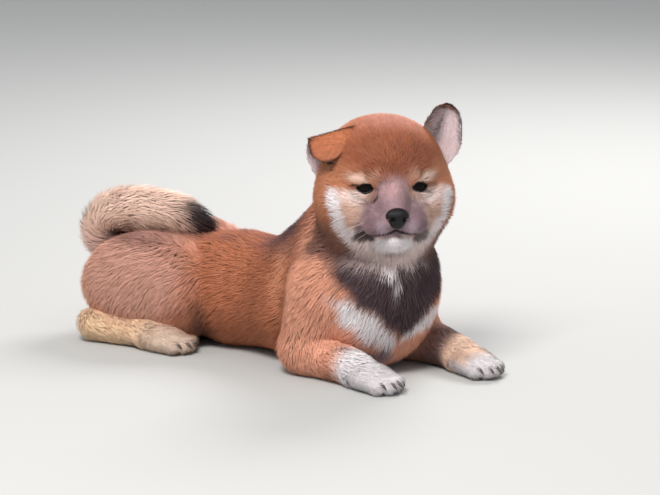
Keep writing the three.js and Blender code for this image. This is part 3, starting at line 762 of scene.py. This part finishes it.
# The way the hair lies
def lie_of_coat(p, n):
    back = -np.array([1.0, 0, 0]) @ ribs[:3, :3].T
    nose_tip = at_head(near_nose(4, 0, 3))
    to_chest = at_shoulders((-30, 0, 40)) - at_head((0, 0, 0))
    weights = closeness(part_distances(p.astype(np.float32)), 12.0)
    flow = np.zeros(p.shape)
    for i, (kind, _, side) in enumerate(PARTS):
        share = weights[:, i : i + 1]
        if kind == "trunk":
            way = back + np.array([0, 0, -0.45])
        elif kind == "neck":
            way = unit(to_chest)
        elif kind in ("cranium", "muzzle", "chin"):
            way = unit(p - nose_tip)
        elif kind == "tail":
            way = unit(np.gradient(tail_line, axis=0))[nearest_on_tail(p)]
        elif kind == "upper_foreleg":
            way = unit(in_frame(fore_frame[side], [(-6, 0, 10)])[0] - at_shoulders((10, 40 * OUT[side], 68)))
        elif kind == "thigh":
            way = np.array([-0.65, 0, -0.75]) @ hip[:3, :3].T
        else:
            place = {"forearm": fore_frame, "shank": hind_frame, "paw": paw_frames}[kind][side]
            way = np.array([1.0, 0, -0.1]) @ place[:3, :3].T
        flow += share * way
    flow = flow + 0.22 * waves(p, 26, 21)
    flow -= (flow * n).sum(1, keepdims=True) * n
    return unit(flow)


skin_weights = closeness(part_distances(skin_points))
skin_colours = markings(skin_points.astype(float), skin_normals, skin_weights)
skin_flow = lie_of_coat(skin_points, skin_normals)


def material(name, colour, rough, shine, speckle=0.0):
    """A surface in a daylight colour, or in the mesh's own colours where none is given."""
    m = bpy.data.materials.new(name)
    m.use_nodes = True
    nodes, links = m.node_tree.nodes, m.node_tree.links
    shader = nodes["Principled BSDF"]
    shader.inputs["Roughness"].default_value = rough
    shader.inputs["Specular IOR Level"].default_value = shine
    if colour is None:
        source = nodes.new("ShaderNodeAttribute")
        source.attribute_name = "coat"
        links.new(source.outputs["Color"], shader.inputs["Base Color"])
    else:
        shader.inputs["Base Color"].default_value = (*light(colour), 1)
    if speckle:
        noise = nodes.new("ShaderNodeTexNoise")
        noise.inputs["Scale"].default_value = 2600
        bump = nodes.new("ShaderNodeBump")
        bump.inputs["Strength"].default_value = speckle
        bump.inputs["Distance"].default_value = 0.0004
        links.new(noise.outputs["Fac"], bump.inputs["Height"])
        links.new(bump.outputs["Normal"], shader.inputs["Normal"])
    return m


skin_look = material("skin", None, rough=0.95, shine=0.1, speckle=0.6)
coat_look = material("coat", None, rough=0.72, shine=0.22)

FLESH = [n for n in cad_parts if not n.startswith(("claw", "eye", "ear", "nose"))]
# The skin takes the coat's colours at 0.8: painted shade deep in the coat, between the tufts
skin = add_mesh(
    "skin", to_row(skin_points), skin_quads, skin_colours * 0.8, skin_normals, material=skin_look
)
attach(skin, "root")
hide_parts(*FLESH)


# Lips: a dark line where the upper lips meet the chin, drooping to its corners
side_share = np.linspace(-1, 1, 41)
lip_points = []
forward = np.linspace(66, 20, 116)
for l in LIPS["half"] * side_share:
    peak = LIPS["peak"] * math.exp(-((l / LIPS["peak_half"]) ** 2))
    up = LIPS["up"] + peak - LIPS["droop"] * (abs(l) / LIPS["half"]) ** 3
    steps = np.stack([forward, np.full(len(forward), l), np.full(len(forward), up)], 1)
    value = skin_form(in_frame(head_frame, steps).astype(np.float32))
    lip_points.append(steps[int(np.argmax(value < 0))] + np.array([0.5, 0, 0]))
lip_line = in_frame(head_frame, lip_points)


# Tufts: closed spikes of three sides, bent so that they rise from the skin and then lie along it
def unwrap(points, normals):
    """Six charts by the way the skin faces, side by side, each filling its own cell."""
    low, high = points.min(0), points.max(0)
    size = np.maximum(high - low, 1e-6)
    share = (points - low) / size
    axis = np.abs(normals).argmax(1)
    positive = normals[np.arange(len(points)), axis] > 0
    chart = axis * 2 + positive
    across = np.choose(axis, [share[:, 1], share[:, 0], share[:, 0]])
    up = np.choose(axis, [share[:, 2], share[:, 2], share[:, 1]])
    return np.stack([(chart % 3 + 0.03 + 0.94 * across) / 3, (chart // 3 + 0.03 + 0.94 * up) / 2], 1)


SPIKE = np.array(
    [[0, 2, 1], [0, 1, 4], [0, 4, 3], [1, 2, 5], [1, 5, 4]]
    + [[2, 0, 3], [2, 3, 5], [3, 4, 6], [4, 5, 6], [5, 3, 6]]
)
SHORT_SPIKE = np.array([[0, 2, 1], [0, 1, 3], [1, 2, 3], [2, 0, 3]])
SHORT_HAIR = 6.0
ROOT_SHADE, TIP_SHADE = 0.9, 1.05
PATCH = 0.003
PATCH_CORNERS = np.array([[-1, -1], [1, -1], [0, 1], [-1, 0], [1, 0], [0, 0], [0, 1]])
MAX_FACES = 190000


def tufts(name, slot, roots, normals, flow, length, width, height, colours):
    """Builds the tufts as meshes of at most MAX_FACES triangles, split along the body."""
    order = np.argsort(roots[:, 0], kind="stable")
    short = np.median(length) < SHORT_HAIR
    faces_each = SHORT_SPIKE if short else SPIKE
    pieces = int(np.ceil(len(roots) * len(faces_each) / MAX_FACES))
    for index, part in enumerate(np.array_split(order, pieces)):
        r, n, t = roots[part], normals[part], flow[part]
        side = np.cross(n, t)
        wide, tall, long = width[part, None], height[part, None], length[part, None]
        low = r - n * 0.5
        corner = [low - side * wide / 2, low + side * wide / 2, low + n * wide * 0.45 - t * wide * 0.3]
        middle = r + t * long * 0.45 + n * tall * 0.74
        ring = [middle - side * wide * 0.4, middle + side * wide * 0.4, middle + n * wide * 0.3]
        end = r + t * long + n * tall
        lit = n * 0.85
        left, right = lit - side * 0.5, lit + side * 0.5
        if short:
            verts = [*corner, end]
            bends = [left, right, lit + n * 0.2, lit + t * 0.2]
            shade = [ROOT_SHADE] * 3 + [TIP_SHADE]
        else:
            verts = [*corner, *ring, end]
            bends = [left, right, lit, left, right, lit, lit + t * 0.2]
            shade = [ROOT_SHADE] * 3 + [1] * 3 + [TIP_SHADE]
        count = len(verts)
        points = np.stack(verts, 1).reshape(-1, 3)
        points[:, 2] = np.maximum(points[:, 2], HAIR_LOW)
        faces = (np.arange(len(part))[:, None, None] * count + faces_each[None]).reshape(-1, 3)
        tint = (colours[part][:, None, :] * np.array(shade)[None, :, None]).reshape(-1, 3)
        uv = unwrap(r, n)[:, None, :] + PATCH / 2 * PATCH_CORNERS[None, :count]
        thing = add_mesh(
            f"{name}_{index + 1}",
            to_row(points),
            faces,
            np.clip(tint, 0, 1),
            unit(np.stack(bends, 1).reshape(-1, 3)),
            uv.reshape(-1, 2),
            coat_look,
        )
        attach(thing, "root")


# Roots spread over the skin, closer together where the hair is short
def at_opening(points, side, above, below):
    """How far points are ahead of an eye's middle, and whether they face its opening."""
    q = to_frame(eye_frames[side], points)
    upper, lower = almond_edges(q[:, 1], side)
    across = np.abs(q[:, 1]) < ALMOND["half"] + 0.8
    return q[:, 0], across & (q[:, 2] < upper + above) & (q[:, 2] > lower - below)


corners = skin_points[skin_quads]
quad_area = np.linalg.norm(np.cross(corners[:, 2] - corners[:, 0], corners[:, 3] - corners[:, 1]), axis=1) / 2
density = (skin_weights @ np.array([COAT[k][3] for k in KIND]))[skin_quads].mean(1)
middles = corners.mean(1)
wanted = quad_area * density
wanted *= soft(middles[:, 2], 0.6, 3.0) * 0.97 + 0.03
for side in SIDES:
    ahead, facing = at_opening(middles, side, 0.6, 0.6)
    wanted[facing & (ahead > -2) & (ahead < 14)] = 0
wanted[nose_pad(middles.astype(np.float32)) < 1.0] = 0
# The share of the wanted tufts that is made
BUDGET = 0.78
running = np.cumsum(wanted * BUDGET)
count = int(running[-1])
chosen = np.searchsorted(running, np.arange(count) + rng.uniform(0, 1, count))
chosen = np.minimum(chosen, len(skin_quads) - 1)
u, v = rng.uniform(0, 1, (2, count, 1))


def across_quad(values):
    a, b, c, d = (values[skin_quads[chosen, i]] for i in range(4))
    return (a * (1 - u) + b * u) * (1 - v) + (d * (1 - u) + c * u) * v


roots = across_quad(skin_points).astype(float)
root_normals = unit(across_quad(skin_normals))
root_flow = across_quad(skin_flow)
root_weights = across_quad(skin_weights)
fluff = cheek_fluff(roots)


def turned(flow, normals, amount):
    side = np.cross(normals, flow)
    angle = rng.normal(0, amount, (len(flow), 1))
    return unit(flow * np.cos(angle) + side * np.sin(angle))


root_flow = unit(root_flow - (root_flow * root_normals).sum(1, keepdims=True) * root_normals)
root_flow = turned(root_flow, root_normals, 0.14)
sizes = root_weights @ np.array([COAT[k][:3] for k in KIND])
depths = sizes[:, 0] + FLUFF_DEPTH * fluff
lengths = (sizes[:, 1] + FLUFF_LENGTH * fluff) * rng.uniform(0.75, 1.15, count)
widths = sizes[:, 2] * rng.uniform(0.7, 1.25, count) / math.sqrt(BUDGET)
heights = depths * rng.uniform(0.62, 1.0, count)
root_colours = markings(roots, root_normals, root_weights)
streak = 1 + 0.07 * wave(roots, 9, 31) + 0.05 * wave(roots, 4, 32)
root_colours *= (streak * rng.normal(1, 0.07, count))[:, None]
root_colours = root_colours + (rng.uniform(0, 1, count) < 0.05)[:, None] * 0.05
names = np.array(KIND)[root_weights.argmax(1)]


def over_eye(points):
    """Whether points hide an eye."""
    hidden = np.zeros(len(points), bool)
    for side in SIDES:
        ahead, facing = at_opening(points, side, 1.3, 0.9)
        hidden |= facing & (ahead > 0) & (ahead < 22)
    return hidden


def from_lips(points):
    """How far each point is from the line of the lips."""
    return np.sqrt(((points[:, None] - lip_line[None, ::2]) ** 2).sum(2)).min(1)


near_mouth = np.linalg.norm(roots - lip_line[20], axis=1) < 34
tips = roots + root_flow * lengths[:, None] + root_normals * heights[:, None]
halfway = roots + root_flow * lengths[:, None] * 0.5 + root_normals * heights[:, None] * 0.7
mouth_gap = np.min([from_lips(q[near_mouth]) for q in (roots, tips, halfway)], 0)
clear = ~(over_eye(tips) | over_eye(halfway) | over_eye((tips + halfway) / 2) | over_eye(roots))
clear[near_mouth] &= mouth_gap > 1.7
GROUPS = {
    "face_coat": ("red_coat", ("muzzle", "chin")),
    "head_coat": ("red_coat", ("cranium",)),
    "torso_coat": ("red_coat", ("trunk", "neck")),
    "leg_coat": ("red_coat", ("thigh", "shank", "upper_foreleg", "forearm")),
    "paw_coat": ("white_coat", ("paw",)),
    "tail_coat": ("tan_coat", ("tail",)),
}
HAIRS = (roots, root_normals, root_flow, lengths, widths, heights, root_colours)
for name, (slot, members) in GROUPS.items():
    mine = np.isin(names, members) & clear
    tufts(name, slot, *[values[mine] for values in HAIRS])


# Ears: a leaf between an inner and an outer edge, cupped between them
EARS = {
    "left": {
        "inner": ((-6, 26, 20), (-4, 32, 30), (-5, 38, 40), (-6, 43.5, 46), (-7, 48.5, 47.5)),
        "outer": ((-9, 51, -6), (-4, 62.5, 11), (-4, 64.5, 27), (-5, 62.5, 40), (-7, 57.5, 46.5)),
        "cup": (13, 2),
    },
    "right": {
        "inner": ((-8, -20, 24), (-4, -22, 32), (5, -24, 35))
        + ((14, -28, 29.5), (19, -35, 20.5), (19.5, -44, 13.5)),
        "outer": ((-8, -52, -12), (-8, -61, 8), (2, -62, 25), (10, -63, 21), (14.5, -61, 15), (18, -53, 11)),
        "cup": (8, -3),
    },
}
# How an ear wears its coat: tufts, hair length and depth
EAR_COAT = {"outside": (8000, 4.2, 1.5), "inside": (5200, 6.5, 2.4)}
EAR_SKIN = 1.5
ROWS, COLUMNS = 40, 28


def ear_sheet(side):
    """Middle points, faces outward (to the ear's back) and way to the tip, on a grid."""
    ear = EARS[side]
    inner = through(in_frame(head_frame, ear["inner"]), ROWS + 1)
    outer = through(in_frame(head_frame, ear["outer"]), ROWS + 1)
    along = np.linspace(0, 1, ROWS + 1)[:, None, None]
    across = np.linspace(-1, 1, COLUMNS + 1)[None, :, None]
    back = -head_frame[:3, 0]
    middle = inner[:, None] * (1 - across) / 2 + outer[:, None] * (1 + across) / 2
    deeper, least = ear["cup"]
    middle = middle + back * (deeper * (1 - along) + least) * (1 - across**2)
    up = np.gradient(middle, axis=0)
    sideways = np.gradient(middle, axis=1)
    out = unit(np.cross(up, sideways))
    if (out[:8] * back).sum() < 0:
        out = -out
    return middle, out, unit(up), along, across


def ear_colours(side, along, across, back):
    s, t = (np.broadcast_to(v[..., 0], (ROWS + 1, COLUMNS + 1)).ravel() for v in (along, across))
    edge = np.abs(t)
    if side == "right":
        edge = np.where((t < 0) & (s < 0.72), 0, edge)
    rim = np.maximum(soft(edge, 0.84, 0.96), soft(s, 0.9, 0.97)) * soft(s, 0.2, 0.4)
    if back:
        lay = Paint((200, 124, 88), len(s))
        lay(0.4 * soft(s, 0.6, 0.9), (214, 140, 108))
        return lay(0.9 * rim, (52, 38, 40))
    lay = Paint(EAR_PINK, len(s))
    if side == "left":
        # Painted shade in the hollow of the upright left ear
        shade_in_hollow = soft(blob((s - 0.4, 0.2), (t + 0.25, 0.22)), 0.2, 0.8)
        lay(0.75 * shade_in_hollow, (120, 84, 80))
    lay(0.85 * soft(s, 0.7, 0.95), (190, 124, 94))
    lay(0.6 * soft(-t, 0.45, 0.8) * soft(s, 0.1, 0.3), (190, 124, 94))
    return lay(0.85 * rim, (60, 42, 40))


def ear_mesh(side):
    middle, out, up, along, across = ear_sheet(side)
    count = (ROWS + 1) * (COLUMNS + 1)
    half = EAR_SKIN / 2 * (1 - 0.75 * np.abs(across) ** 4) * (1 - 0.6 * along**6)
    points = np.concatenate([(middle + out * half).reshape(-1, 3), (middle - out * half).reshape(-1, 3)])
    number = np.arange(count).reshape(ROWS + 1, COLUMNS + 1)
    a, b, c, d = number[:-1, :-1], number[1:, :-1], number[1:, 1:], number[:-1, 1:]
    front = np.stack([a, b, c, d], -1).reshape(-1, 4)
    edge = np.concatenate([number[0], number[1:, -1], number[-1, -2::-1], number[-2:0:-1, 0]])
    following = np.roll(edge, -1)
    wall = np.stack([edge, following, following + count, edge + count], 1)
    faces = np.concatenate([front, front[:, ::-1] + count, wall])
    colours = np.concatenate([ear_colours(side, along, across, back) for back in (True, False)])
    ear = add_mesh(f"ear_{side}_skin", to_row(points), faces, colours, material=skin_look)
    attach(ear, "root")
    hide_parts(f"ear_{side}")
    normals_out(ear)
    ear_coat(side, middle, out, up, along, across)


def normals_out(thing, fill=False):
    """Closes open ends if asked to, and turns the faces so that they all point out."""
    work = bmesh.new()
    work.from_mesh(thing.data)
    if fill:
        bmesh.ops.holes_fill(work, edges=work.edges)
    bmesh.ops.recalc_face_normals(work, faces=work.faces)
    work.to_mesh(thing.data)
    work.free()


def pick(grid, s, t):
    """Values of a grid at shares along and across it."""
    x, y = s * ROWS, (t + 1) / 2 * COLUMNS
    i, j = np.minimum(x.astype(int), ROWS - 1), np.minimum(y.astype(int), COLUMNS - 1)
    a, b = (x - i)[:, None], (y - j)[:, None]
    near = grid[i, j] * (1 - a) + grid[i + 1, j] * a
    far = grid[i, j + 1] * (1 - a) + grid[i + 1, j + 1] * a
    return near * (1 - b) + far * b


def ear_coat(side, middle, out, up, along, across):
    for name, (wanted_here, hair, depth) in EAR_COAT.items():
        back = name == "outside"
        amount = int(wanted_here * BUDGET)
        s = rng.uniform(0.02, 0.99, amount)
        t = rng.uniform(-0.99, 0.99, amount)
        grid = ear_colours(side, along, across, back).reshape(ROWS + 1, COLUMNS + 1, 3)
        way = 1 if back else -1
        normal = unit(pick(out, s, t)) * way
        root = pick(middle, s, t) + normal * EAR_SKIN * 0.3
        flow = pick(up, s, t)
        if not back:
            flow = flow + 0.5 * unit(pick(np.gradient(middle, axis=1), s, t)) * -np.sign(t)[:, None]
        flow = turned(unit(flow - (flow * normal).sum(1, keepdims=True) * normal), normal, 0.25)
        length = hair * rng.uniform(0.7, 1.2, amount) * (1 - 0.4 * s)
        streak = 1 + 0.12 * wave(root, 5, 41) + 0.08 * wave(root, 2.2, 42)
        colour = pick(grid, s, t) * (streak * rng.normal(1.0, 0.12, amount))[:, None]
        if not back:
            pale = (rng.uniform(0, 1, amount) < 0.35) & (s < 0.75)
            colour = laid(colour, 0.55 * pale, WHITE)
        height = rng.uniform(0.5, 1.0, amount) * depth
        width = rng.uniform(0.32, 0.5, amount) / math.sqrt(BUDGET)
        tufts(f"ear_{side}_{name}", "red_coat", root, normal, flow, length, width, height, colour)


for side in SIDES:
    ear_mesh(side)


# Eyes: plain dark balls, with a dark rim of lid round each opening
eye_look = material("eye", (12, 8, 7), rough=0.16, shine=0.1)
rim_look = material("lid_rim", (24, 17, 17), rough=0.45, shine=0.25)


def ball(name, place, radius, look):
    bpy.ops.mesh.primitive_uv_sphere_add(segments=48, ring_count=32, radius=radius / 1000)
    thing = bpy.context.object
    thing.name = name
    thing.data.transform(Matrix.Translation(to_row(place[:3, 3])))
    thing.data.polygons.foreach_set("use_smooth", np.ones(len(thing.data.polygons), bool))
    thing.data.materials.append(look)
    return thing


def tube(name, line, radii, look, sides=8, closed=False):
    """A tube along a line of points, closed at its ends or, if closed is set, joined into a ring."""
    line = np.asarray(line, float)
    ways = unit(np.roll(line, -1, 0) - np.roll(line, 1, 0)) if closed else unit(np.gradient(line, axis=0))
    up = np.tile([0.0, 0.0, 1.0], (len(line), 1))
    up = unit(up - (up * ways).sum(1, keepdims=True) * ways)
    side = np.cross(ways, up)
    turn = np.linspace(0, 2 * math.pi, sides, endpoint=False)
    radii = np.broadcast_to(radii, len(line))[:, None, None]
    ring = up[:, None] * np.cos(turn)[None, :, None] + side[:, None] * np.sin(turn)[None, :, None]
    points = (line[:, None] + radii * ring).reshape(-1, 3)
    number = np.arange(len(points)).reshape(len(line), sides)
    following = np.roll(number, -1, 0) if closed else number[1:]
    start = number if closed else number[:-1]
    faces = np.stack([start, np.roll(start, -1, 1), np.roll(following, -1, 1), following], -1).reshape(-1, 4)
    thing = add_mesh(name, to_row(points), faces, material=look)
    normals_out(thing, fill=not closed)
    return thing


for side in SIDES:
    eye = ball(f"eye_{side}_ball", eye_frames[side], EYE_RADIUS, eye_look)
    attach(eye, "root")
    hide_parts(f"eye_{side}")
    y = np.linspace(-1, 1, 21) * ALMOND["half"]
    upper, lower = almond_edges(y, side)
    loop_y = np.concatenate([y, y[-2:0:-1]])
    loop_z = np.concatenate([upper, lower[-2:0:-1]])
    reach = EYE_RADIUS + 0.5
    loop = np.stack([np.sqrt(reach**2 - loop_y**2 - loop_z**2), loop_y, loop_z], 1)
    rim = tube(f"lid_rim_{side}", in_frame(eye_frames[side], loop), 0.85, rim_look, closed=True)
    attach(rim, "root")

# Nose
nose_look = material("nose", (12, 11, 13), rough=0.28, shine=0.28, speckle=0.5)
pad, pad_quads = surface(nose_form, nose_centre - NOSE_REACH, nose_centre + NOSE_REACH, 0.5)
pad = settled(nose_form, pad, 0.3)
pad_normals = unit(slope_of(nose_form, pad, 0.15))
nose = add_mesh("nose_pad", to_row(pad), pad_quads, normals=pad_normals, material=nose_look)
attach(nose, "root")
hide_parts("nose")

lip_look = material("lips", (40, 30, 33), rough=0.45, shine=0.4)
lip_radii = LIPS["radius"] * (1 - 0.3 * np.abs(side_share) ** 3)
lip = tube("lip_line", lip_line, lip_radii, lip_look, sides=10)
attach(lip, "root")

# Claws, each curved down along a part of a circle
claw_look = material("claw", (58, 48, 44), rough=0.3, shine=0.5)
share = np.linspace(0, 1, 9)
bend = np.radians(CLAW["bend"]) * share
reach = CLAW["length"] / np.radians(CLAW["bend"])
radii = CLAW["radius"] * (1 - 0.86 * share**1.5)
for name, place in paw_frames.items():
    for i, spot in enumerate(TOES):
        toe = toe_tip(spot)
        forward, up = toe[0] + 3 + reach * np.sin(bend), toe[2] + 3 - reach * (1 - np.cos(bend))
        line = np.stack([forward, np.full(9, toe[1]), up], 1)
        claw = tube(f"claw_{name}_{i + 1}_horn", in_frame(place, line), radii, claw_look, sides=10)
        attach(claw, "root")
        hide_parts(f"claw_{name}_{i + 1}")

# Whiskers, thin and curved back along the muzzle
whisker_look = material("whisker", (214, 204, 200), rough=0.5, shine=0.4)
hairs = []
for s in (1, -1):
    for row in range(3):
        for k in range(4):
            start = np.array([50 - 5 * k, s * (16 + 2.4 * k), -29 - 4 * row + rng.uniform(-1, 1)])
            way = unit(np.array([0.25 - 0.22 * k, s * 1.0, -0.18 - 0.12 * row + rng.uniform(-0.1, 0.1)]))
            t = np.linspace(0, 1, 6)[:, None]
            long = rng.uniform(15, 23)
            hairs.append(start + way * long * t + np.array([-0.25, 0, -0.12]) * long * t**2)
thin = 0.14 * (1 - 0.8 * np.linspace(0, 1, 6))
strands = [
    tube(f"whisker_{i + 1}", in_frame(head_frame, hair), thin, whisker_look, 4)
    for i, hair in enumerate(hairs)
]
with bpy.context.temp_override(active_object=strands[0], selected_editable_objects=strands):
    bpy.ops.object.join()
whiskers = strands[0]
whiskers.name = "whiskers"
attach(whiskers, "root")

# Floor, light and camera
bpy.ops.mesh.primitive_plane_add(size=12, location=(0, 0, 0))
floor = bpy.context.object
floor.name = "floor"
floor.data.materials.append(material("floor", (186, 186, 184), rough=0.9, shine=0.1))

sky = bpy.data.worlds.new("sky")
bpy.context.scene.world = sky
sky.use_nodes = True
sky.node_tree.nodes["Background"].inputs[0].default_value = (0.93, 0.96, 1.0, 1)
sky.node_tree.nodes["Background"].inputs[1].default_value = 0.62


# The camera's turn and rise in degrees and its distance in metres; its target's height in millimetres
AZIMUTH, ELEVATION, DISTANCE = 37.0, 12.0, 2.6
TARGET_UP = 97.0
PIXELS, METRES_PER_PIXEL = 660, 0.00082
SENSOR = 36
LAMP_SIZE = 0.7
a, e = math.radians(AZIMUTH), math.radians(ELEVATION)
target = np.array(to_row(np.array([0.0, 0.0, TARGET_UP])))
toward = np.array([math.sin(a) * math.cos(e), -math.cos(a) * math.cos(e), math.sin(e)])
right = np.array([math.cos(a), math.sin(a), 0])


def aimed(name, data, at):
    """An object that looks at the target from a place."""
    thing = bpy.data.objects.new(name, data)
    thing.location = at
    thing.rotation_euler = (Vector(target) - Vector(at)).to_track_quat("-Z", "Y").to_euler()
    bpy.context.scene.collection.objects.link(thing)
    return thing


def lamp(name, at, power, tint):
    data = bpy.data.lights.new(name, "AREA")
    data.size = LAMP_SIZE
    data.energy = power
    data.color = tint
    aimed(name, data, at)


lamp("key", target + 1.2 * toward - 0.45 * right + np.array([0, 0, 1.35]), 40, (1, 0.97, 0.94))
lamp("rim", target - 1.1 * toward + 0.5 * right + np.array([0, 0, 1.3]), 20, (1, 0.98, 0.97))
camera = bpy.data.cameras.new("camera")
camera.sensor_width = SENSOR
camera.lens = SENSOR * DISTANCE / (PIXELS * METRES_PER_PIXEL)
view = aimed("camera", camera, target + DISTANCE * toward)
bpy.context.scene.camera = view
bpy.context.scene.view_settings.view_transform = "Standard"
